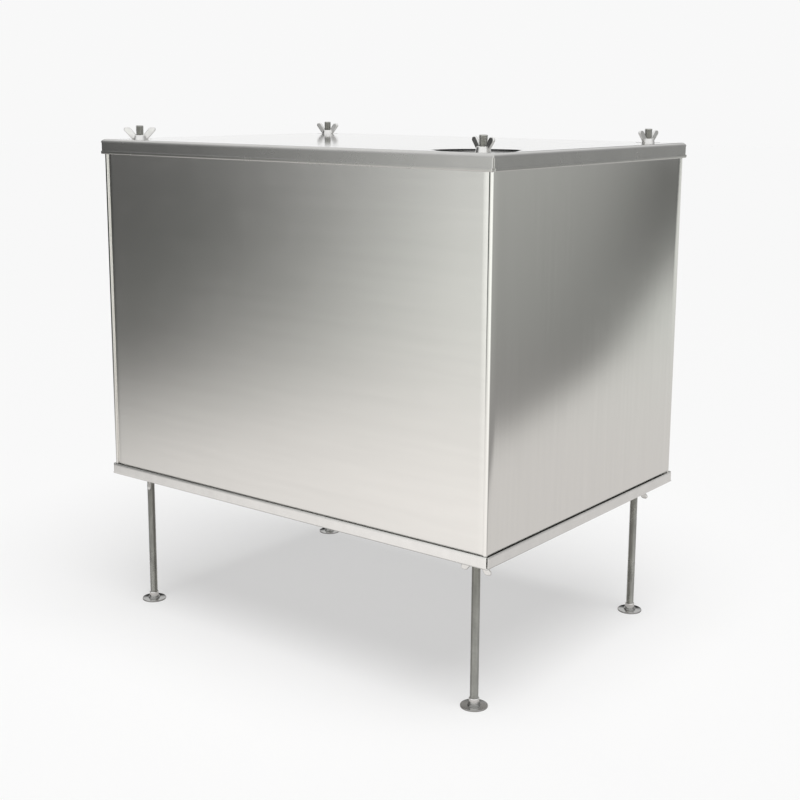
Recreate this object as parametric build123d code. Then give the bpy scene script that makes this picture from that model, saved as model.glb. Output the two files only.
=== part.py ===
from build123d import *
import math
import os

# Water bath: a stainless tank in a sheet shell, held together by four threaded rods.
# The rods clamp lid, gasket, tank flange, wall panels and tray between wing nuts, and
# their lower ends are the legs. Millimetres, +Z up. The origin is on the floor, midway
# between the feet. X runs along the wide front, and the front faces -Y.

os.makedirs("parts", exist_ok=True)

# Outer shell
shell_length = 482.0
shell_width = 346.0
panel_sheet = 1.0
corner_bend = 1.5
wrap_width = 4.0
panel_end_gap = 1.5

# Lid: a sheet dished where its wing nuts bear, whose folded lips end in a hem turned outwards
lid_sheet = 1.0
lid_height = 15.1
lid_overhang = 2.05
lid_bend = 3.0
dish_depth = 3.0
dish_flat = 11.0
dish_rim = 23.0
hem_height = 4.0
hem_gap = 0.2
# Keeps the hem's two bends just short of touching, so that they stay two arcs
hem_flat = 0.01

# Tray: flat sheet with upturned lips
tray_sheet = 0.8
tray_height = 11.6
tray_overhang_x = 2.3
tray_overhang_y = 1.6
tray_bend = 1.4
lip_corner_gap = 0.5

# Heights above the floor
tray_underside = 143.4
wall_seen = 330.0
tray_top = tray_underside + tray_height
tray_floor = tray_underside + tray_sheet
lid_lip_bottom = tray_top + wall_seen
lid_top = lid_lip_bottom + lid_height
lid_underside = lid_top - lid_sheet
seat_top = lid_top - dish_depth
seat_underside = lid_underside - dish_depth

# Gasket and tank
gasket_thickness = 3.0
gasket_edge = 2.0
flange_sheet = 1.2
tank_sheet = 1.0
tank_length = 408.0
tank_width = 276.0
tank_corner = 22.0
tank_floor_bend = 8.0
flange_edge = 1.0
flange_corner = 3.0
gasket_inset = 3.0
flange_top = seat_underside - gasket_thickness
panel_top = flange_top - flange_sheet

# Perforated rack on the tank's floor
rack_length = 380.0
rack_width = 250.0
rack_height = 25.0
rack_sheet = 1.5
rack_bend = 2.0
rack_hole_radius = 6.0
rack_hole_pitch = 30.0
rack_holes_along = 11
rack_holes_across = 7

# Insulation boards between the tank and the panels
board_clearance = 0.2
board_short_gap = 2.0
board_bottom_gap = 0.2
board_top_gap = 1.5
rod_pocket = 8.8

# Threaded rods, M8
rod_radius = 4.0
rod_inset_x = 27.2
rod_inset_y = 25.0
rod_bottom = 1.8
rod_stub = 16.9
rod_chamfer = 0.8
sheet_hole_radius = 4.5
soft_hole_radius = 5.0
thread_fit = 0.05
cut_margin = 1.0

# Washers, M8
washer_radius = 8.0
washer_bore = 4.2
washer_thickness = 1.6

# Wing nuts, M8: a tapered hub and two wings that lean outwards
hub_base_radius = 7.0
hub_top_radius = 5.7
hub_height = 5.8
hub_edge = 0.6
wing_thickness = 2.4
wing_outline = [(5.0, 1.6), (8.4, 1.6), (16.5, 11.2), (15.4, 13.2), (10.2, 14.0), (5.0, 5.6)]
wing_tip_radius = 1.2

# Feet: a collar on the rod's end turns in the cup of a flat disc
disc_radius = 12.75
disc_thickness = 1.5
disc_edge = 0.4
cup_radius = 6.2
cup_height = 1.6
collar_radius = 4.9
collar_clearance = 0.3
collar_height = 7.0
collar_edge = 0.5

half_length = shell_length / 2
half_width = shell_width / 2
rod_x = half_length - rod_inset_x
rod_y = half_width - rod_inset_y

# Corner name, rod position, and the angles to which the two wing nuts are turned
corners = {
    "front_left": (-rod_x, -rod_y, 48.0, -49.0),
    "front_right": (rod_x, -rod_y, -21.0, 0.0),
    "back_left": (-rod_x, rod_y, 1.0, 40.0),
    "back_right": (rod_x, rod_y, 82.0, -3.0),
}


def disc(radius, height, z):
    """A round plate or rod that stands on the height z."""
    return Pos(0, 0, z) * Cylinder(radius, height, align=(Align.CENTER, Align.CENTER, Align.MIN))


def bore(radius, low, high):
    """Round cutter that runs a little past both heights."""
    return disc(radius, high - low + 2 * cut_margin, low - cut_margin)


def holes_at_rods(radius, low, high):
    """Cutters at the four rods."""
    return [Pos(x, y, 0) * bore(radius, low, high) for x, y, _, _ in corners.values()]


def sheet_section(points, bend, thickness):
    """Section of a bent sheet whose middle line follows the points."""
    return trace(FilletPolyline(*points, radius=bend), thickness)


def on_side(shape, angle, distance, z):
    """Turn a profile so that its x points outwards at this angle and its y points up."""
    outward = (math.cos(math.radians(angle)), math.sin(math.radians(angle)), 0)
    along = (outward[1], -outward[0], 0)
    origin = (outward[0] * distance, outward[1] * distance, z)
    return Plane(origin=origin, x_dir=outward, z_dir=along).location * shape


def lipped_plate(sheet, overhang_x, overhang_y, bend, middle, fold, wall):
    """Plate with a bent lip on each side, whose wall runs on past the bend, almost to the corners."""
    set_back = bend + sheet / 2
    edge_x = half_length + overhang_x - set_back
    edge_y = half_width + overhang_y - set_back
    reach = set_back - sheet - lip_corner_gap
    plate = Pos(0, 0, middle) * Box(2 * edge_x, 2 * edge_y, sheet)
    for angle, edge, run in ((0, edge_x, edge_y), (90, edge_y, edge_x)):
        lip = extrude(fold, run, both=True) + extrude(wall, run + reach, both=True)
        plate += [on_side(lip, angle + turn, edge, middle) for turn in (0, 180)]
    return plate


def dish():
    """Shallow round dish pressed into the lid, as a revolved section of the sheet."""
    low = [(sheet_hole_radius, seat_underside), (dish_flat, seat_underside), (dish_rim, lid_underside)]
    high = [(dish_rim, lid_top), (dish_flat, seat_top), (sheet_hole_radius, seat_top)]
    return revolve(Plane.XZ * make_face(Polyline(*low, *high, close=True)), Axis.Z)


def lid():
    """Lid dished at the rods: each lip folds down and ends in a hem turned up on the outside."""
    drop = lid_height - lid_sheet
    hem_step = lid_sheet + hem_gap
    hem_x = lid_bend + hem_step
    fold = sheet_section([(0, 0), (lid_bend, 0), (lid_bend, -hem_height)], lid_bend, lid_sheet)
    hem_path = [(lid_bend, -lid_bend), (lid_bend, -drop), (hem_x, -drop), (hem_x, hem_height - drop)]
    hem = sheet_section(hem_path, hem_step / 2 - hem_flat, lid_sheet)
    middle = lid_top - lid_sheet / 2
    plate = lipped_plate(lid_sheet, lid_overhang, lid_overhang, lid_bend, middle, fold, hem)
    plate -= holes_at_rods(dish_rim, lid_underside, lid_top)
    return plate + [Pos(x, y, 0) * dish() for x, y, _, _ in corners.values()]


def tray():
    """Shallow tray: each lip folds up and ends plain."""
    rise = tray_height - tray_sheet / 2
    fold = sheet_section([(0, 0), (tray_bend, 0), (tray_bend, rise)], tray_bend, tray_sheet)
    wall = Pos(tray_bend, (tray_bend + rise) / 2) * Rectangle(tray_sheet, rise - tray_bend)
    middle = tray_underside + tray_sheet / 2
    plate = lipped_plate(tray_sheet, tray_overhang_x, tray_overhang_y, tray_bend, middle, fold, wall)
    return plate - holes_at_rods(sheet_hole_radius, tray_underside, tray_floor)


def side_panel(side):
    """Left or right panel, with both upright edges folded round the corners."""
    middle_x = half_length - panel_sheet / 2
    middle_y = half_width - panel_sheet / 2
    edge = half_length - wrap_width
    path = [(edge, -middle_y), (middle_x, -middle_y), (middle_x, middle_y), (edge, middle_y)]
    section = sheet_section(path, corner_bend, panel_sheet)
    panel = Pos(0, 0, tray_floor) * extrude(section, panel_top - tray_floor)
    return panel if side > 0 else Rot(0, 0, 180) * panel


def face_panel(side):
    """Flat front or back panel, whose ends lie behind the side panels' folds."""
    height = panel_top - tray_floor
    length = shell_length - 2 * (panel_sheet + panel_end_gap)
    y = half_width - 1.5 * panel_sheet
    return Pos(0, side * y, (panel_top + tray_floor) / 2) * Box(length, panel_sheet, height)


def tank():
    """Water tank with round corners, standing on the tray, and a flange out to the panels."""
    height = flange_top - tray_floor
    outer = Pos(0, 0, tray_floor) * extrude(RectangleRounded(tank_length, tank_width, tank_corner), height)
    outer = fillet(outer.edges().group_by(Axis.Z)[0], tank_floor_bend)
    inner_corner = tank_corner - tank_sheet
    inner_face = RectangleRounded(tank_length - 2 * tank_sheet, tank_width - 2 * tank_sheet, inner_corner)
    inner = Pos(0, 0, tray_floor + tank_sheet) * extrude(inner_face, height)
    inner = fillet(inner.edges().group_by(Axis.Z)[0], tank_floor_bend - tank_sheet)
    flange_face = RectangleRounded(shell_length - flange_edge, shell_width - flange_edge, flange_corner)
    flange = Pos(0, 0, panel_top) * extrude(flange_face, flange_sheet)
    return outer + flange - inner - holes_at_rods(soft_hole_radius, panel_top, flange_top)


def lid_gasket():
    """Flat seal on the tank's flange, with holes for the rods."""
    outside = RectangleRounded(shell_length - 2 * gasket_edge, shell_width - 2 * gasket_edge, flange_corner)
    opening_x = tank_length + 2 * gasket_inset
    opening_y = tank_width + 2 * gasket_inset
    opening = RectangleRounded(opening_x, opening_y, tank_corner + gasket_inset)
    seal = Pos(0, 0, flange_top) * extrude(outside - opening, gasket_thickness)
    return seal - holes_at_rods(soft_hole_radius, flange_top, seat_underside)


def tank_rack():
    """Perforated false floor: a plate on two folded-down ends."""
    drop = rack_height - rack_sheet / 2
    half = (rack_length - rack_sheet) / 2
    path = [(-half, -drop), (-half, 0), (half, 0), (half, -drop)]
    top = tray_floor + tank_sheet + rack_height - rack_sheet / 2
    section = sheet_section(path, rack_bend, rack_sheet)
    rack = on_side(extrude(section, rack_width / 2, both=True), 0, 0, top)
    grid = GridLocations(rack_hole_pitch, rack_hole_pitch, rack_holes_along, rack_holes_across)
    cutter = bore(rack_hole_radius, top - rack_sheet / 2, top + rack_sheet / 2)
    return rack - [place * cutter for place in grid]


def face_board(side):
    """Insulation board behind the front or back panel, between two rods."""
    inner = tank_width / 2 + board_clearance
    outer = half_width - 2 * panel_sheet - board_clearance
    length = 2 * (rod_x - rod_pocket)
    bottom = tray_floor + board_bottom_gap
    top = panel_top - board_top_gap
    board = Box(length, outer - inner, top - bottom)
    return Pos(0, side * (inner + outer) / 2, (top + bottom) / 2) * board


def side_board(side):
    """Insulation board inside the left or right panel, between two rods."""
    inner = rod_x - rod_pocket + board_clearance
    outer = half_length - panel_sheet - board_clearance
    width = tank_width - 2 * board_short_gap
    bottom = tray_floor + board_bottom_gap
    top = panel_top - board_top_gap
    board = Box(outer - inner, width, top - bottom)
    return Pos(side * (inner + outer) / 2, 0, (top + bottom) / 2) * board


def rod():
    """Threaded rod at its thread's outer diameter, with chamfered ends."""
    length = seat_top + rod_stub - rod_bottom
    plain = disc(rod_radius, length, rod_bottom)
    ends = plain.edges().filter_by(GeomType.CIRCLE)
    return chamfer(ends, rod_chamfer)


def washer(z):
    """Flat washer that stands on the height z."""
    return disc(washer_radius, washer_thickness, z) - bore(washer_bore, z, z + washer_thickness)


def wing_nut():
    """Wing nut with its base on z = 0 and its wings along X."""
    hub = Cone(hub_base_radius, hub_top_radius, hub_height, align=(Align.CENTER, Align.CENTER, Align.MIN))
    hub = fillet(hub.edges().group_by(Axis.Z)[-1], hub_edge)
    outline = make_face(Polyline(*wing_outline, close=True))
    outer_reach = hub_base_radius + 2 * wing_tip_radius
    outer_corners = outline.vertices().filter_by(lambda corner: corner.X > outer_reach)
    outline = fillet(outer_corners, wing_tip_radius)
    wing = Rot(90, 0, 0) * extrude(outline, wing_thickness / 2, both=True)
    nut = hub + wing + Rot(0, 0, 180) * wing
    return nut - bore(rod_radius + thread_fit, 0, hub_height)


def foot_disc():
    """Flat foot with a low cup in the middle that the collar turns in."""
    plate = disc(disc_radius, disc_thickness, 0)
    plate = fillet(plate.edges().group_by(Axis.Z)[-1], disc_edge)
    cup = disc(cup_radius, cup_height, disc_thickness)
    cup -= disc(collar_radius + collar_clearance, cup_height, disc_thickness)
    return plate + cup


def foot_collar():
    """Threaded collar between the rod's end and the disc."""
    collar = disc(collar_radius, collar_height, disc_thickness)
    collar = chamfer(collar.edges().group_by(Axis.Z)[-1], collar_edge)
    return collar - bore(rod_radius + thread_fit, disc_thickness, disc_thickness + collar_height)


parts = {
    "lid": lid(),
    "lid_gasket": lid_gasket(),
    "tank": tank(),
    "tank_rack": tank_rack(),
    "tray": tray(),
    "front_panel": face_panel(-1),
    "back_panel": face_panel(1),
    "left_panel": side_panel(-1),
    "right_panel": side_panel(1),
    "front_insulation": face_board(-1),
    "back_insulation": face_board(1),
    "left_insulation": side_board(-1),
    "right_insulation": side_board(1),
}

for corner, (x, y, lid_turn, tray_turn) in corners.items():
    at_rod = Pos(x, y, 0)
    nut_base = seat_top + washer_thickness
    tray_nut_base = tray_underside - washer_thickness
    parts[corner + "_rod"] = at_rod * rod()
    parts[corner + "_lid_washer"] = at_rod * washer(seat_top)
    parts[corner + "_lid_wing_nut"] = at_rod * Pos(0, 0, nut_base) * Rot(0, 0, lid_turn) * wing_nut()
    parts[corner + "_tray_washer"] = at_rod * washer(tray_nut_base)
    hanging = Rot(0, 0, tray_turn) * Rot(180, 0, 0) * wing_nut()
    parts[corner + "_tray_wing_nut"] = at_rod * Pos(0, 0, tray_nut_base) * hanging
    parts[corner + "_foot_disc"] = at_rod * foot_disc()
    parts[corner + "_foot_collar"] = at_rod * foot_collar()

for name, shape in parts.items():
    export_step(shape, f"parts/{name}.step")
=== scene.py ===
import math

import bmesh
import bpy
import numpy as np
from mathutils import Matrix, Vector


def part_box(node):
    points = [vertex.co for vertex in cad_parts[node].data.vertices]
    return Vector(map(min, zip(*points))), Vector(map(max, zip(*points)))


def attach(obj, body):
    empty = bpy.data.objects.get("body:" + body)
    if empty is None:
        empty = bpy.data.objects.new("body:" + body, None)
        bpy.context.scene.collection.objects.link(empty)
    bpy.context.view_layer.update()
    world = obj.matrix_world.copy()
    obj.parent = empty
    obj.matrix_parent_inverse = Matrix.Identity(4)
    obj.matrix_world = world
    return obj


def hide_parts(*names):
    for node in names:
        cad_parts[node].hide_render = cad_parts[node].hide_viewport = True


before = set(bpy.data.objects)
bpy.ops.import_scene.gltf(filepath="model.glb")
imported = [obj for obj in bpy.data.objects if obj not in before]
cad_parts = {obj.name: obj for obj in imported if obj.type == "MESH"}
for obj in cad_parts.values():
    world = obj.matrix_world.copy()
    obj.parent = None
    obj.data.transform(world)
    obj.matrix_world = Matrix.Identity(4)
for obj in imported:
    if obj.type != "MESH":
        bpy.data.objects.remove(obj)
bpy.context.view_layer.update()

# Camera. It stands in front of the near corner and a little above the lid, with the lens
# axis pitched down; the small shift frames the bath in the middle of the picture.
camera_place = Vector((0.8545, -1.0905, 0.5469))
camera_yaw, camera_pitch, camera_roll = math.radians(37.68), math.radians(-10.97), math.radians(0.30)
lens = bpy.data.cameras.new("view_camera")
lens.lens, lens.sensor_width, lens.shift_y = 60.28, 36.0, -0.0576
lens.clip_end = 60.0
camera = bpy.data.objects.new("view_camera", lens)
bpy.context.scene.collection.objects.link(camera)
turned = Matrix.Rotation(camera_yaw, 4, "Z") @ Matrix.Rotation(math.pi / 2 + camera_pitch, 4, "X")
camera.matrix_world = Matrix.Translation(camera_place) @ turned @ Matrix.Rotation(camera_roll, 4, "Z")
bpy.context.scene.camera = camera
bpy.context.scene.view_settings.view_transform = "Standard"


# Floor and light. A pale table, lit a little from below and the rest from above by an even
# white sky and one large soft lamp at the front right, so that the shadow lies behind.


def node_maker(tree):
    """A function that adds a node to this tree; an input is named, or numbered as i0, i1 and so on."""
    def node(kind, **inputs):
        made = tree.nodes.new(kind)
        for key, value in inputs.items():
            numbered = key[0] == "i" and key[1:].isdigit()
            socket = made.inputs[int(key[1:]) if numbered else key]
            if isinstance(value, bpy.types.NodeSocket):
                tree.links.new(value, socket)
            else:
                socket.default_value = value
        return made

    return node


def new_material(name):
    """An empty node material: the material, its tree and its node maker."""
    material = bpy.data.materials.new(name)
    material.use_nodes = True
    material.node_tree.nodes.clear()
    return material, material.node_tree, node_maker(material.node_tree)


def between(node, value, low, high, start, end):
    """A value carried evenly from one range to another, and held at the ends."""
    scaled = node("ShaderNodeMapRange", Value=value)
    for key, number in {"From Min": low, "From Max": high, "To Min": start, "To Max": end}.items():
        scaled.inputs[key].default_value = number
    return scaled.outputs[0]


def blended(node, share, first, second, how="MIX"):
    """Two colours mixed by a share, or multiplied, or the lighter of the two."""
    mix = node("ShaderNodeMix", i0=share, i6=first, i7=second)
    mix.data_type, mix.blend_type = "RGBA", how
    return mix.outputs[2]


floor_material, tree, node = new_material("pale_floor")
place = node("ShaderNodeTexCoord").outputs["Object"]
floor_albedo, far_albedo, table_glow = 0.50, 0.49, 0.465
from_middle = node("ShaderNodeVectorMath", i0=place)
from_middle.operation = "LENGTH"
fade = between(node, from_middle.outputs["Value"], 0.5, 3.0, floor_albedo, far_albedo)
paper = node("ShaderNodeCombineColor", Red=fade, Green=fade, Blue=fade)
lit_from_above = node("ShaderNodeBsdfDiffuse", Color=paper.outputs[0])
lit_from_below = node("ShaderNodeEmission", Color=(1, 1, 1, 1), Strength=table_glow)
both = node("ShaderNodeAddShader", i0=lit_from_above.outputs[0], i1=lit_from_below.outputs[0])
tree.links.new(both.outputs[0], node("ShaderNodeOutputMaterial").inputs["Surface"])


floor_radius, floor_corners = 14.0, 96


def disc_on_floor(name, height, material):
    """A round flat sheet at this height: one ring of points about the middle."""
    angle = np.linspace(0, 2 * np.pi, floor_corners, endpoint=False)
    ring = np.stack([floor_radius * np.cos(angle), floor_radius * np.sin(angle), height + 0 * angle], 1)
    mesh = bpy.data.meshes.new(name)
    mesh.from_pydata(ring.tolist(), [], [list(range(floor_corners))])
    mesh.materials.append(material)
    made = bpy.data.objects.new(name, mesh)
    bpy.context.scene.collection.objects.link(made)
    return made


floor = disc_on_floor("floor", 0.0, floor_material)
floor.visible_glossy = False

soft_sun = bpy.data.lights.new("soft_sun", "SUN")
soft_sun.energy, soft_sun.angle = 2.35, math.radians(50)
lamp = bpy.data.objects.new("soft_sun", soft_sun)
lamp_turn, lamp_tilt = math.radians(-34), math.radians(17)
lamp.matrix_world = Matrix.Rotation(lamp_turn, 4, "Z") @ Matrix.Rotation(lamp_tilt, 4, "Y")
bpy.context.scene.collection.objects.link(lamp)
lamp.visible_glossy = False

# Painted reflections: what the metal mirrors. The studio isn't white all round: past the paper's edges it
# is dark, and that painted shade is what shades the satin panels. These sheets and this sky show in
# reflections only.
studio_material, tree, node = new_material("studio_in_reflections")
place = node("ShaderNodeTexCoord").outputs["Object"]


def across(node, point, direction):
    """Signed distance of a place from a line through the point, along the direction."""
    shifted = node("ShaderNodeVectorMath", i0=place, i1=(point[0], point[1], 0))
    shifted.operation = "SUBTRACT"
    along = node("ShaderNodeVectorMath", i0=shifted.outputs[0], i1=(direction[0], direction[1], 0))
    along.operation = "DOT_PRODUCT"
    return along.outputs["Value"]


def shades(node, value, stops, soft=True):
    """Grey levels along a value; the stops are (value, level)."""
    low, high = stops[0][0], stops[-1][0]
    levels = node("ShaderNodeValToRGB", Fac=between(node, value, low, high, 0.0, 1.0))
    levels.color_ramp.interpolation = "B_SPLINE" if soft else "EASE"
    while len(levels.color_ramp.elements) < len(stops):
        levels.color_ramp.elements.new(0.5)
    for element, (position, level) in zip(levels.color_ramp.elements, stops):
        element.position = (position - low) / (high - low)
        element.color = (level, level, level, 1)
    return levels.outputs["Color"]


black, white = (0, 0, 0, 1), (1, 1, 1, 1)
# The left side fades evenly: paper on this side of two lines, the darker room beyond both.
paper_to_room = [(-3.0, 1.0), (-1.0, 0.82), (-0.5, 0.67), (-0.25, 0.50),
                 (0.0, 0.26), (0.2, 0.12), (0.6, 0.06), (2.0, 0.03)]
left_line = shades(node, across(node, (-1.07, -0.9), (-1.0, 0.0)), paper_to_room)
slanted_line = shades(node, across(node, (-1.24, -1.467), (-0.819, 0.574)), paper_to_room)
left_dark = blended(node, 1.0, left_line, slanted_line, "LIGHTEN")
# The right side has an edge: a grey paper ends at two lines, and the room behind it is darker.
past_near_line = across(node, (0.918, 0.856), (0.974, -0.228))
past_far_line = across(node, (1.106, 1.66), (0.93, -0.367))
near_edge = shades(node, past_near_line, [(-0.13, 0.0), (-0.03, 1.0)], False)
far_edge = shades(node, past_far_line, [(-0.06, 0.0), (0.03, 1.0)], False)
both_edges = blended(node, 1.0, near_edge, far_edge, "MULTIPLY")
along_y = node("ShaderNodeSeparateXYZ", Vector=place).outputs["Y"]
in_front = between(node, along_y, 0.0, -0.6, 0.0, 1.0)
past_edge = blended(node, in_front, both_edges, black)
room_levels = [(-1.0, 0.03), (-0.2, 0.045), (0.12, 0.30), (0.8, 0.34), (2.0, 0.40)]
room = shades(node, across(node, (1.52, 2.27), (0.893, -0.449)), room_levels)
grey_paper = (0.63, 0.63, 0.63, 1)
right_dark = blended(node, in_front, blended(node, past_edge, grey_paper, room), white)
# A painted shadow of the bath, an oval of the bath's proportions, and a slight warmth near it.
oval = node("ShaderNodeVectorMath", i0=place, i1=(1.0, 1.38, 0.0))
oval.operation = "MULTIPLY"
from_bath = node("ShaderNodeVectorMath", i0=oval.outputs[0])
from_bath.operation = "LENGTH"
shadow_levels = [(0.10, 0.45), (0.26, 0.62), (0.40, 0.97), (0.50, 1.0)]
own_shadow = shades(node, from_bath.outputs["Value"], shadow_levels)
sides = blended(node, 1.0, left_dark, right_dark, "MULTIPLY")
pattern = blended(node, 1.0, sides, own_shadow, "MULTIPLY")
distance = node("ShaderNodeVectorMath", i0=place)
distance.operation = "LENGTH"
farther = between(node, distance.outputs["Value"], 0.8, 2.2, 0.0, 1.0)
warm, greenish = (1, 0.972, 0.95, 1), (0.985, 1, 0.96, 1)
tinted = blended(node, 1.0, pattern, blended(node, farther, warm, greenish), "MULTIPLY")
glow = node("ShaderNodeEmission", Color=tinted, Strength=1.3)
tree.links.new(glow.outputs[0], node("ShaderNodeOutputMaterial").inputs["Surface"])
# A glowing sheet just under the floor that only reflections see. It is the floor's painted reflection and
# carries the painted shade and the painted shadow above.
just_below = -0.0005
painted_reflection_floor = disc_on_floor("painted_reflection_floor", just_below, studio_material)
painted_reflection_floor.visible_camera = False
painted_reflection_floor.visible_diffuse = False
painted_reflection_floor.visible_shadow = False
painted_reflection_floor.visible_transmission = False

sky = bpy.data.worlds.new("studio")
bpy.context.scene.world = sky
sky.use_nodes = True
tree = sky.node_tree
tree.nodes.clear()
node = node_maker(tree)
direction = node("ShaderNodeTexCoord").outputs["Generated"]


def towards(azimuth):
    """How far a direction of the sky leans towards this azimuth, from -1 to 1."""
    wall = (math.cos(math.radians(azimuth)), math.sin(math.radians(azimuth)), 0)
    lean = node("ShaderNodeVectorMath", i0=direction, i1=wall)
    lean.operation = "DOT_PRODUCT"
    return lean.outputs["Value"]


left_levels = [(0.0, 1.0), (0.68, 1.0), (0.80, 0.75), (0.90, 0.06), (1.0, 0.04)]
right_levels = [(0.0, 1.0), (0.5, 1.0), (0.8, 0.8), (0.93, 0.40), (1.0, 0.36)]
left_wall, right_wall = shades(node, towards(197), left_levels), shades(node, towards(55), right_levels)
elevation = node("ShaderNodeSeparateXYZ", Vector=direction).outputs["Z"]
height_levels = [(0.0, 0.0), (0.085, 0.0), (0.125, 1.0), (0.28, 1.0), (0.38, 0.0), (1.0, 0.0)]
above_paper = shades(node, elevation, height_levels, False)
behind = shades(node, towards(126), [(0.0, 0.0), (0.84, 0.0), (0.92, 1.0), (1.0, 1.0)], False)
dark_wall = blended(node, 1.0, above_paper, behind, "MULTIPLY")
side_walls = blended(node, 1.0, left_wall, right_wall, "MULTIPLY")
wall_black, fill_light, seen_sky = (0.02, 0.02, 0.02, 1), (0.25, 0.25, 0.25, 1), (0.94, 0.94, 0.94, 1)
mirrored_sky = blended(node, dark_wall, side_walls, wall_black)
rays = node("ShaderNodeLightPath")
plain_sky = blended(node, rays.outputs["Is Camera Ray"], fill_light, seen_sky)
all_sky = blended(node, rays.outputs["Is Glossy Ray"], plain_sky, mirrored_sky)
light = node("ShaderNodeBackground", Color=all_sky)
tree.links.new(light.outputs[0], node("ShaderNodeOutputWorld").inputs["Surface"])


# Side panels. Each is one stainless sheet whose upright edges are folded round the corners,
# over the ends of the front and back panels. It stands in the tray, clamped by the rods.
mm = 0.001
panel_sheet, corner_bend = 1.0 * mm, 1.5 * mm
panel_low, panel_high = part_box("right_panel")
half_length, half_width = panel_high.x, panel_high.y


def noise(node, place, scale, detail, roughness=0.5):
    """A noise value at a place, from 0 to 1."""
    made = node("ShaderNodeTexNoise", Vector=place, Scale=scale, Detail=detail, Roughness=roughness)
    return made.outputs["Fac"]


def steel(name, colour, gloss, grain, grain_depth, marks=0.05, streaks=0.0, cast=0.0, polish=None):
    """Bare metal. Its roughness drifts with broad clouds and finger marks, its tone with a grain
    stretched along the rolling, and its surface rises and falls with the same grain. cast adds
    the pores of a casting; polish is (height, roughness), a smoother finish from there up."""
    material, tree, node = new_material(name)
    place = node("ShaderNodeTexCoord").outputs["Object"]
    stretched = node("ShaderNodeMapping", Vector=place)
    stretched.inputs["Scale"].default_value = grain
    fibres = noise(node, stretched.outputs[0], 1.0, 4.0)
    clouds = noise(node, place, 7.0, 3.0)
    spots = noise(node, place, 34.0, 3.0, 0.65)
    smudge = between(node, spots, 0.52, 0.85, 0.0, 1.0)
    drift = between(node, clouds, 0.3, 0.7, gloss - marks * 0.5, gloss + marks * 0.5)
    rough = node("ShaderNodeMath", i0=smudge, i1=marks, i2=drift)
    rough.operation = "MULTIPLY_ADD"
    if polish:
        height = node("ShaderNodeSeparateXYZ", Vector=place).outputs["Z"]
        share = between(node, height, polish[0] - 2 * mm, polish[0], 0.0, 1.0)
        rough = node("ShaderNodeMix", i0=share, i2=rough.outputs[0], i3=polish[1])
    streaked, dull = [tuple((1 - loss) * level for level in colour) + (1,) for loss in (streaks, marks)]
    grained = blended(node, between(node, fibres, 0.3, 0.7, 0.0, 1.0), tuple(colour) + (1,), streaked)
    tone = blended(node, smudge, grained, dull)
    relief = fibres
    if cast:
        pitted = node("ShaderNodeMath", i0=noise(node, place, 900.0, 2.0), i1=cast, i2=fibres)
        pitted.operation = "MULTIPLY_ADD"
        relief = pitted.outputs[0]
    bump = node("ShaderNodeBump", Height=relief, Strength=grain_depth, Distance=0.1 * mm)
    shader = node("ShaderNodeBsdfPrincipled", Metallic=1.0)
    tree.links.new(tone, shader.inputs["Base Color"])
    tree.links.new(rough.outputs[0], shader.inputs["Roughness"])
    tree.links.new(bump.outputs[0], shader.inputs["Normal"])
    tree.links.new(shader.outputs[0], node("ShaderNodeOutputMaterial").inputs["Surface"])
    return material


def net(points, close_rows=False, close_columns=False):
    """A grid of points and its quads; closing joins the last row or column to the first."""
    rows, columns = points.shape[:2]
    index = np.arange(rows * columns).reshape(rows, columns)
    if close_rows:
        index = np.vstack([index, index[:1]])
    if close_columns:
        index = np.hstack([index, index[:, :1]])
    quads = np.stack([index[:-1, :-1], index[1:, :-1], index[1:, 1:], index[:-1, 1:]], -1)
    return points.reshape(-1, 3), quads.reshape(-1, 4)


def make_mesh(name, nets):
    """One welded mesh of several nets, with its faces turned the same way."""
    offsets = np.cumsum([0] + [len(points) for points, _ in nets[:-1]])
    faces = np.concatenate([quads + offset for (_, quads), offset in zip(nets, offsets)])
    mesh = bpy.data.meshes.new(name)
    mesh.from_pydata(np.concatenate([points for points, _ in nets]).tolist(), [], faces.tolist())
    work = bmesh.new()
    work.from_mesh(mesh)
    bmesh.ops.remove_doubles(work, verts=work.verts, dist=3e-6)
    bmesh.ops.recalc_face_normals(work, faces=work.faces)
    work.to_mesh(mesh)
    work.free()
    return mesh


def as_modified(piece):
    """A new mesh: the piece's own after its modifiers."""
    bpy.context.view_layer.update()
    return bpy.data.meshes.new_from_object(piece.evaluated_get(bpy.context.evaluated_depsgraph_get()))


def finish_piece(name, mesh, material, body, sheet=0.0, edge=0.0):
    """A piece in its place: thickened if it is sheet, its sharp edges broken, smooth between them."""
    mesh.materials.clear()
    mesh.materials.append(material)
    mesh.shade_smooth()
    piece = bpy.data.objects.new(name + "_visual", mesh)
    bpy.context.scene.collection.objects.link(piece)
    if sheet:
        solid = piece.modifiers.new("sheet", "SOLIDIFY")
        solid.thickness, solid.offset, solid.use_even_offset = sheet, 0.0, True
    if edge:
        broken = piece.modifiers.new("edge", "BEVEL")
        broken.width, broken.segments, broken.limit_method = edge, 2, "ANGLE"
        broken.angle_limit = math.radians(50)
    if sheet or edge:
        shaped = as_modified(piece)
        piece.modifiers.clear()
        piece.data = shaped
    piece.data.set_sharp_from_angle(angle=math.radians(38))
    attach(piece, body)
    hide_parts(name)
    return piece


def arc(centre, radius, start, end, steps):
    """Points on a circle from one angle to another, in degrees."""
    angle = np.radians(np.linspace(start, end, steps))
    return np.stack([centre[0] + radius * np.cos(angle), centre[1] + radius * np.sin(angle)], 1)


def slack(a, b, depth):
    """How far thin sheet is out of flat: slow waves along both ways, from 0 to depth."""
    long_waves = np.sin(9.1 * a + 0.4) * np.sin(11.3 * b + 1.1)
    short_waves = np.sin(23.0 * a + 2.0) * np.cos(19.0 * b)
    return depth * (0.5 + (long_waves + 0.5 * short_waves) / 3)


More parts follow.
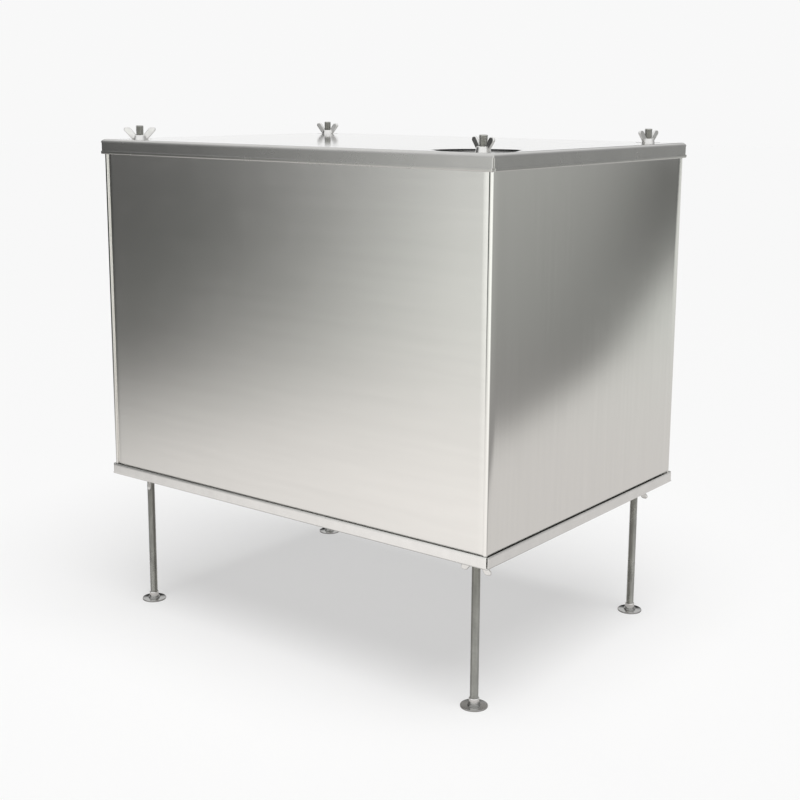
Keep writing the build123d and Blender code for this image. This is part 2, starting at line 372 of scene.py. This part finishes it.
middle_x, middle_y = half_length - panel_sheet / 2, half_width - panel_sheet / 2
bend_x, bend_y = middle_x - corner_bend, middle_y - corner_bend
bend_steps, panel_rows, side_columns, face_columns = 7, 45, 41, 61
straight = np.stack([np.full(side_columns, middle_x), np.linspace(-bend_y, bend_y, side_columns)], 1)
path = np.concatenate([[(panel_low.x, -middle_y)],
                       arc((bend_x, -bend_y), corner_bend, -90, 0, bend_steps),
                       straight[1:-1],
                       arc((bend_x, bend_y), corner_bend, 0, 90, bend_steps),
                       [(panel_low.x, middle_y)]])
levels = np.linspace(panel_low.z, panel_high.z, panel_rows)
x, z = np.meshgrid(path[:, 0], levels)
y, z = np.meshgrid(path[:, 1], levels)
fixed_edge = np.clip((1 - np.abs(y) / bend_y) * 8, 0, 1) * (np.abs(x) > bend_x)
satin = steel("satin_stainless", (0.82, 0.812, 0.79), 0.125, (60, 260, 7), 0.008,
              marks=0.018, streaks=0.025)
side_slack, face_slack, cut_edge = 0.15 * mm, 0.2 * mm, 0.12 * mm
for name, side in (("right_panel", 1), ("left_panel", -1)):
    bowed = x - slack(y, z, side_slack) * fixed_edge
    panel = make_mesh(name, [net(np.stack([side * bowed, side * y, z], -1))])
    finish_piece(name, panel, satin, "shell", panel_sheet, cut_edge)

# Front and back panels. Flat stainless sheets set one thickness back, so that their ends
# lie behind the folds of the side panels.
face_low, face_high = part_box("back_panel")
x, z = np.meshgrid(np.linspace(face_low.x, face_high.x, face_columns),
                   np.linspace(face_low.z, face_high.z, panel_rows))
inset = np.clip((1 - np.abs(x) / face_high.x) * 10, 0, 1)
rolled = steel("rolled_stainless", (0.82, 0.812, 0.79), 0.23, (7, 60, 120), 0.012,
               marks=0.02, streaks=0.03)
for name, side in (("back_panel", 1), ("front_panel", -1)):
    y = (face_low.y + face_high.y) / 2 - slack(x + 0.3 * side, z, face_slack) * inset
    panel = make_mesh(name, [net(np.stack([side * x, side * y, z], -1))])
    finish_piece(name, panel, rolled, "shell", panel_sheet, cut_edge)

# Tray. A shallow stainless pan with plain upturned lips, which the panels and the tank stand
# in. The rods pass through it, and wing nuts below hold it up against the panels.
rod_low, rod_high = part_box("front_right_rod")
rod_x, rod_y = (rod_low.x + rod_high.x) / 2, -(rod_low.y + rod_high.y) / 2
corner_places = {"front_left": (-rod_x, -rod_y), "front_right": (rod_x, -rod_y),
                 "back_left": (-rod_x, rod_y), "back_right": (rod_x, rod_y)}
rod_hole = 4.5 * mm
patch, patch_steps, patch_rings = 20.0 * mm, 16, 25


def net_lines(edge, rod, middle_steps):
    """Places of the net's lines on one axis: even steps between the squares that hold the holes."""
    stops = [-edge, -rod - patch, -rod + patch, rod - patch, rod + patch, edge]
    steps = [4, patch_steps, middle_steps, patch_steps, 4]
    spans = [np.linspace(a, b, n, endpoint=False) for a, b, n in zip(stops, stops[1:], steps)]
    return np.concatenate(spans + [[edge]])


def plate_nets(edge_x, edge_y, level, lift):
    """A plate as one net of crossing lines, less four squares, and in each square rings that
    go from the square's sides to the round hole of the rod. lift gives the height over level."""
    lines_x, lines_y = net_lines(edge_x, rod_x, 100), net_lines(edge_y, rod_y, 70)
    x, y = np.meshgrid(lines_x, lines_y)
    points, quads = net(np.stack([x, y, level + lift(x, y)], -1))
    centre = points[quads].mean(1)
    in_square = (abs(abs(centre[:, 0]) - rod_x) < patch) & (abs(abs(centre[:, 1]) - rod_y) < patch)
    nets = [(points, quads[~in_square])]
    run, side = np.linspace(-patch, patch, patch_steps, endpoint=False), np.full(patch_steps, patch)
    square = np.concatenate([np.stack([run, -side], 1), np.stack([side, run], 1),
                             np.stack([-run, side], 1), np.stack([-side, -run], 1)])
    circle = rod_hole * square / np.linalg.norm(square, axis=1, keepdims=True)
    rings = circle + np.linspace(0, 1, patch_rings)[:, None, None] * (square - circle)
    for across_x, across_y in corner_places.values():
        x, y = rings[..., 0] + across_x, rings[..., 1] + across_y
        nets.append(net(np.stack([x, y, level + lift(x, y)], -1), close_columns=True))
    return nets, lines_x, lines_y


def lip_nets(edge_x, edge_y, level, lines_x, lines_y, profile, reach):
    """A lip on each side: the profile (out, up) is carried along the plate's edge, and row by
    row the run is lengthened by reach beyond the edge, so that bends meet at a mitre."""
    out, up = profile[:, 0:1], profile[:, 1:2]
    nets = []
    for turn, lines, along, off in ((0, lines_x, edge_x, edge_y), (1, lines_y, edge_y, edge_x)):
        run = lines * (along + reach[:, None]) / along
        grid = np.stack([run, -(off + out) + 0 * run, level + up + 0 * run], -1)
        for half_turn in (0, 2):
            angle = (turn + half_turn) * math.pi / 2
            cos, sin = round(math.cos(angle)), round(math.sin(angle))
            spun = np.stack([cos * grid[..., 0] - sin * grid[..., 1],
                             sin * grid[..., 0] + cos * grid[..., 1], grid[..., 2]], -1)
            nets.append(net(spun))
    return nets


def flat_plate(x, y):
    """No lift: a flat plate."""
    return 0 * x


tray_sheet, tray_bend, corner_gap, wall_rows = 0.8 * mm, 1.4 * mm, 1.0 * mm, 6
tray_low, tray_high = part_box("tray")
edge_x = tray_high.x - tray_bend - tray_sheet / 2
edge_y = tray_high.y - tray_bend - tray_sheet / 2
level = tray_low.z + tray_sheet / 2
rise = tray_high.z - level
bend = arc((0, tray_bend), tray_bend, -90, 0, bend_steps)
climb = np.linspace(0.2, 1, wall_rows) ** 2
wall = np.stack([np.full(wall_rows, tray_bend), tray_bend + climb * (rise - tray_bend)], 1)
profile = np.concatenate([bend, wall])
reach = np.concatenate([bend[:, 0], np.full(wall_rows, tray_bend - corner_gap)])
plate, lines_x, lines_y = plate_nets(edge_x, edge_y, level, flat_plate)
lips = lip_nets(edge_x, edge_y, level, lines_x, lines_y, profile, reach)
tray_steel = steel("tray_stainless", (0.86, 0.857, 0.845), 0.24, (90, 90, 90), 0.03,
                   marks=0.06, streaks=0.05)
tray, plate_edge = make_mesh("tray", plate + lips), 0.1 * mm
finish_piece("tray", tray, tray_steel, "shell", tray_sheet, plate_edge)

# Tank, rack, gasket and insulation. The seamless tank hangs by its flange between the
# insulation boards and the gasket; the perforated rack stands loose on its floor.


def dress(node_name, material):
    """Give a part that keeps its shape its real finish."""
    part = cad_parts[node_name]
    part.data.materials.clear()
    part.data.materials.append(material)


dress("tank", steel("tank_stainless", (0.77, 0.765, 0.75), 0.24, (40, 40, 300), 0.10,
                    marks=0.08, streaks=0.05))
dress("tank_rack", steel("rack_stainless", (0.74, 0.735, 0.72), 0.28, (300, 30, 30), 0.12,
                         marks=0.10, streaks=0.08))


def soft_stuff(name, light_colour, dark_colour, roughness, speckle, fibre, depth):
    """A matt material: two tones mixed by a stretched noise, with the same noise as its relief."""
    material, tree, node = new_material(name)
    place = node("ShaderNodeTexCoord").outputs["Object"]
    laid = node("ShaderNodeMapping", Vector=place)
    laid.inputs["Scale"].default_value = fibre
    grain = noise(node, laid.outputs[0], speckle, 6.0, 0.65)
    darker = between(node, grain, 0.35, 0.65, 0.0, 1.0)
    tone = blended(node, darker, light_colour + (1,), dark_colour + (1,))
    bump = node("ShaderNodeBump", Height=grain, Strength=0.5, Distance=depth)
    shader = node("ShaderNodeBsdfPrincipled", Roughness=roughness)
    tree.links.new(tone, shader.inputs["Base Color"])
    tree.links.new(bump.outputs[0], shader.inputs["Normal"])
    tree.links.new(shader.outputs[0], node("ShaderNodeOutputMaterial").inputs["Surface"])
    return material


dress("lid_gasket", soft_stuff("silicone", (0.52, 0.14, 0.09), (0.40, 0.10, 0.06), 0.55,
                               300.0, (1, 1, 1), 0.1 * mm))
wool = soft_stuff("mineral_wool", (0.62, 0.53, 0.30), (0.42, 0.34, 0.16), 0.95,
                  160.0, (1, 1, 4), 0.8 * mm)
for side in ("front", "back", "left", "right"):
    dress(side + "_insulation", wool)

# Lid. One bright sheet, dished where its wing nuts bear on it. Its lips fold down over the
# panels and end in a hem turned up on the outside, so that no raw edge shows.
lid_sheet, lid_bend, corner_gap = 1.0 * mm, 3.0 * mm, 0.5 * mm
hem_height, hem_out, turn_radius, dish_depth = 3.0 * mm, 1.2 * mm, 0.52 * mm, 3.0 * mm
lid_low, lid_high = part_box("lid")
edge_x = lid_high.x - lid_sheet / 2 - hem_out - lid_bend
edge_y = lid_high.y - lid_sheet / 2 - hem_out - lid_bend
level = lid_high.z - lid_sheet / 2
drop = level - lid_low.z - lid_sheet / 2


def dished(x, y):
    """The lid's lift. Under three nuts a small cone-sided dish, flat to 8.4 mm and back to nothing
    at 11.6 mm. The front right nut has drawn a wide dent, smooth and much longer inwards."""
    out_x, out_y = abs(x) - rod_x, abs(y) - rod_y
    small = np.clip((11.6 * mm - np.hypot(out_x, out_y)) / (3.2 * mm), 0, 1)
    span_x, span_y = np.where(out_x > 0, 25 * mm, 58 * mm), np.where(out_y > 0, 23 * mm, 56 * mm)
    wide = np.clip((1 - np.hypot(out_x / span_x, out_y / span_y)) / 0.6, 0, 1)
    return -dish_depth * np.where((x > 0) & (y < 0), wide ** 2 * (3 - 2 * wide), small)


lid_bend_steps, lid_wall_rows = 9, 7
bend = arc((0, -lid_bend), lid_bend, 90, 0, lid_bend_steps)
fall = np.linspace(0.1, 1, lid_wall_rows) ** 2
wall = np.stack([np.full(lid_wall_rows, lid_bend), -lid_bend + fall * (turn_radius - drop + lid_bend)], 1)
turn = arc((lid_bend + turn_radius, turn_radius - drop), turn_radius, 180, 360, lid_bend_steps)
share = np.linspace(0, 1, lid_wall_rows)
hem_start = lid_bend + 2 * turn_radius
hem = np.stack([hem_start + (lid_bend + hem_out - hem_start) * (1 - (1 - share) ** 2),
                turn_radius - drop + share * (hem_height - lid_sheet / 2 - turn_radius)], 1)
profile = np.concatenate([bend, wall, turn[1:], hem[1:]])
reach = np.concatenate([bend[:, 0], np.full(len(profile) - len(bend), lid_bend - corner_gap)])
plate, lines_x, lines_y = plate_nets(edge_x, edge_y, level, dished)
lips = lip_nets(edge_x, edge_y, level, lines_x, lines_y, profile, reach)
bright = steel("bright_stainless", (0.62, 0.616, 0.60), 0.26, (50, 50, 50), 0.0,
               marks=0.04, streaks=0.05, polish=(level, 0.08))
finish_piece("lid", make_mesh("lid", plate + lips), bright, "lid", lid_sheet, plate_edge)

# Threaded rods. Four lengths of M8 studding run from above the lid to the feet, and everything
# is clamped on them. They are plain steel, a little dull and greenish beside the sheet.
pitch, crest, root, chamfer = 1.25 * mm, 4.0 * mm, 3.36 * mm, 0.8 * mm
rows_per_pitch, points_per_turn = 6, 24


def studding(low, high):
    """A thread: the radius rises and falls with height less turn, so the ridge climbs as a right-
    handed helix; it is cut down to a chamfer at both ends, which close flat."""
    z = np.linspace(low, high, int((high - low) / pitch * rows_per_pitch))[:, None]
    turn = np.linspace(0, 1, points_per_turn, endpoint=False)[None, :]
    phase = np.mod(z / pitch - turn, 1.0)
    ridge = np.clip((1 - abs(2 * phase - 1)) * 1.35 - 0.17, 0, 1)
    radius = root + (crest - root) * ridge
    radius = np.minimum(radius, crest - chamfer + np.minimum(z - low, high - z))
    angle = 2 * np.pi * turn
    grid = np.stack([radius * np.cos(angle), radius * np.sin(angle), z + 0 * radius], -1)
    with_ends = np.concatenate([grid[:1] * (0, 0, 1), grid, grid[-1:] * (0, 0, 1)])
    return net(with_ends, close_columns=True)


thread_steel = steel("thread_steel", (0.50, 0.50, 0.47), 0.30, (200, 200, 60), 0.10,
                     marks=0.12, streaks=0.25)
for corner, (x, y) in corner_places.items():
    low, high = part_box(corner + "_rod")
    points, quads = studding(low.z, high.z)
    name = corner + "_rod"
    mesh = make_mesh(name, [(points + (x, y, 0), quads)])
    finish_piece(name, mesh, thread_steel, "shell")

# Washers. Plain stamped rings of stainless strip, one between each wing nut and the sheet it
# bears on, with the stamping's softly rolled edge.


def soft_corners(points, radii, steps=5):
    """A closed outline whose corners are rounded: each becomes a quadratic curve between the
    points that lie at the given distance along its two sides."""
    points, radii = np.asarray(points, float), np.asarray(radii, float)[:, None]
    before, after = np.roll(points, 1, 0) - points, np.roll(points, -1, 0) - points
    start = points + radii * before / np.linalg.norm(before, axis=1, keepdims=True)
    end = points + radii * after / np.linalg.norm(after, axis=1, keepdims=True)
    t = np.linspace(0, 1, steps)[None, :, None]
    curve = (1 - t) ** 2 * start[:, None] + 2 * t * (1 - t) * points[:, None] + t ** 2 * end[:, None]
    return curve.reshape(-1, 2)


def turned_ring(outline, segments=64, close_rows=True):
    """An outline of (radius, height) carried once round the upright axis. One that starts and
    ends on the axis is left open there."""
    turn = np.linspace(0, 2 * np.pi, segments, endpoint=False)
    radius, height = outline[:, 0:1], outline[:, 1:2]
    grid = np.stack([radius * np.cos(turn), radius * np.sin(turn), height + 0 * turn], -1)
    return net(grid, close_rows=close_rows, close_columns=True)


washer_steel = steel("washer_steel", (0.78, 0.775, 0.76), 0.18, (400, 400, 400), 0.2,
                     marks=0.08, streaks=0.08)
washer = soft_corners([(4.2 * mm, 0), (8 * mm, 0), (8 * mm, 1.6 * mm), (4.2 * mm, 1.6 * mm)],
                      np.array([0.15, 0.2, 0.45, 0.2]) * mm)
for corner, (x, y) in corner_places.items():
    for where in ("_lid_washer", "_tray_washer"):
        points, quads = turned_ring(washer)
        name = corner + where
        points = points + (x, y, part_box(name)[0].z)
        finish_piece(name, make_mesh(name, [(points, quads)]), washer_steel, name)

# Wing nuts. Cast stainless: a round hub that swells towards its base, and two blades that
# lean outwards from it, run together in soft fillets. The bore is cut afterwards.
blade_half, bore_radius, casting_grain = 1.2 * mm, 4.08 * mm, 0.26 * mm
around = 72
hub_corners = np.array([(0, 0), (7.0, 0), (5.7, 5.8), (0, 6.0)]) * mm
hub_outline = soft_corners(hub_corners, np.array([0, 0.5, 1.1, 0]) * mm)
blade_corners = np.array([(3.5, 1.2), (7.9, 1.4), (16.6, 11.0),
                          (15.3, 13.6), (10.3, 13.9), (3.5, 5.4)]) * mm
blade = soft_corners(blade_corners, np.array([0.2, 0.8, 1.6, 1.3, 1.8, 0.3]) * mm, 7)


def blade_net(side):
    """One blade: its outline repeated from face to face, drawn in towards the faces as the cosine
    of a half turn, so that the rim is round, then closed at the middle of each face."""
    turn = np.linspace(-np.pi / 2, np.pi / 2, 9)
    scale = np.concatenate([[0, 0.5], 0.86 + 0.14 * np.cos(turn), [0.5, 0]])[:, None]
    depth = np.concatenate([[-1, -1], np.sin(turn), [1, 1]])[:, None] * blade_half
    centre = blade.mean(0)
    x, z = [centre[axis] + scale * (blade[:, axis] - centre[axis]) for axis in (0, 1)]
    return net(np.stack([side * x, side * (depth + 0 * x), z], -1), close_columns=True)


def solid_of(mesh, *modifiers):
    """The mesh after these modifiers; each is a kind and its settings."""
    carrier = bpy.data.objects.new("carrier", mesh)
    bpy.context.scene.collection.objects.link(carrier)
    for kind, settings in modifiers:
        step = carrier.modifiers.new(kind, kind)
        for key, value in settings.items():
            setattr(step, key, value)
    shaped = as_modified(carrier)
    bpy.data.objects.remove(carrier)
    return shaped


hub = turned_ring(hub_outline, around, close_rows=False)
rough_nut = make_mesh("rough_nut", [hub, blade_net(1), blade_net(-1)])
cast_nut = solid_of(rough_nut, ("REMESH", {"mode": "VOXEL", "voxel_size": casting_grain}),
                    ("SMOOTH", {"factor": 0.5, "iterations": 7}))
below, above = -2 * mm, 9 * mm
bore_outline = np.array([(0, below), (bore_radius, below), (bore_radius, above), (0, above)])
bore = make_mesh("bore_cutter", [turned_ring(bore_outline, 48, close_rows=False)])
bore_cutter = bpy.data.objects.new("bore_cutter", bore)
bpy.context.scene.collection.objects.link(bore_cutter)
cut = {"operation": "DIFFERENCE", "object": bore_cutter, "solver": "EXACT"}
nut = solid_of(cast_nut, ("BOOLEAN", cut))
bpy.data.objects.remove(bore_cutter)

nut_steel = steel("cast_stainless", (0.86, 0.855, 0.84), 0.30, (250, 250, 250), 0.15,
                  marks=0.10, streaks=0.10, cast=0.5)
# How far each upper and lower nut has been turned, in degrees from the bath's long side.
nut_turns = {"front_left": (48, -49), "front_right": (-21, 0),
             "back_left": (1, 40), "back_right": (82, -3)}
for corner, (x, y) in corner_places.items():
    for name, turn, flip in ((corner + "_lid_wing_nut", nut_turns[corner][0], 0.0),
                             (corner + "_tray_wing_nut", nut_turns[corner][1], math.pi)):
        low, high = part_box(name)
        base = high.z if flip else low.z
        copy = nut.copy()
        spun = Matrix.Rotation(math.radians(turn), 4, "Z") @ Matrix.Rotation(flip, 4, "X")
        copy.transform(Matrix.Translation((x, y, base)) @ spun)
        finish_piece(name, copy, nut_steel, name)

# Feet. A polished disc with a low cup, in which a bright threaded collar on the rod's end
# turns to level the bath.
foot_steel = steel("foot_steel", (0.42, 0.42, 0.41), 0.12, (300, 300, 300), 0.08,
                   marks=0.06, streaks=0.05)
collar_steel = steel("collar_steel", (0.86, 0.855, 0.84), 0.22, (200, 200, 500), 0.2,
                     marks=0.06, streaks=0.06)
disc_corners = np.array([(0, 0), (12.75, 0), (12.75, 1.5), (6.2, 1.5),
                         (6.2, 3.1), (5.2, 3.1), (5.2, 1.5), (0, 1.5)]) * mm
disc_outline = soft_corners(disc_corners, np.array([0, 0.2, 0.6, 0.4, 0.3, 0.2, 0.1, 0]) * mm)
collar_corners = np.array([(4.06, 1.53), (4.9, 1.53), (4.9, 8.0), (4.4, 8.5), (4.06, 8.5)]) * mm
collar_outline = soft_corners(collar_corners, np.array([0.1, 0.25, 0.3, 0.15, 0.1]) * mm)
for corner, (x, y) in corner_places.items():
    for name, outline, material in ((corner + "_foot_disc", disc_outline, foot_steel),
                                    (corner + "_foot_collar", collar_outline, collar_steel)):
        points, quads = turned_ring(outline, around, close_rows=outline is collar_outline)
        foot = make_mesh(name, [(points + (x, y, 0), quads)])
        finish_piece(name, foot, material, name)
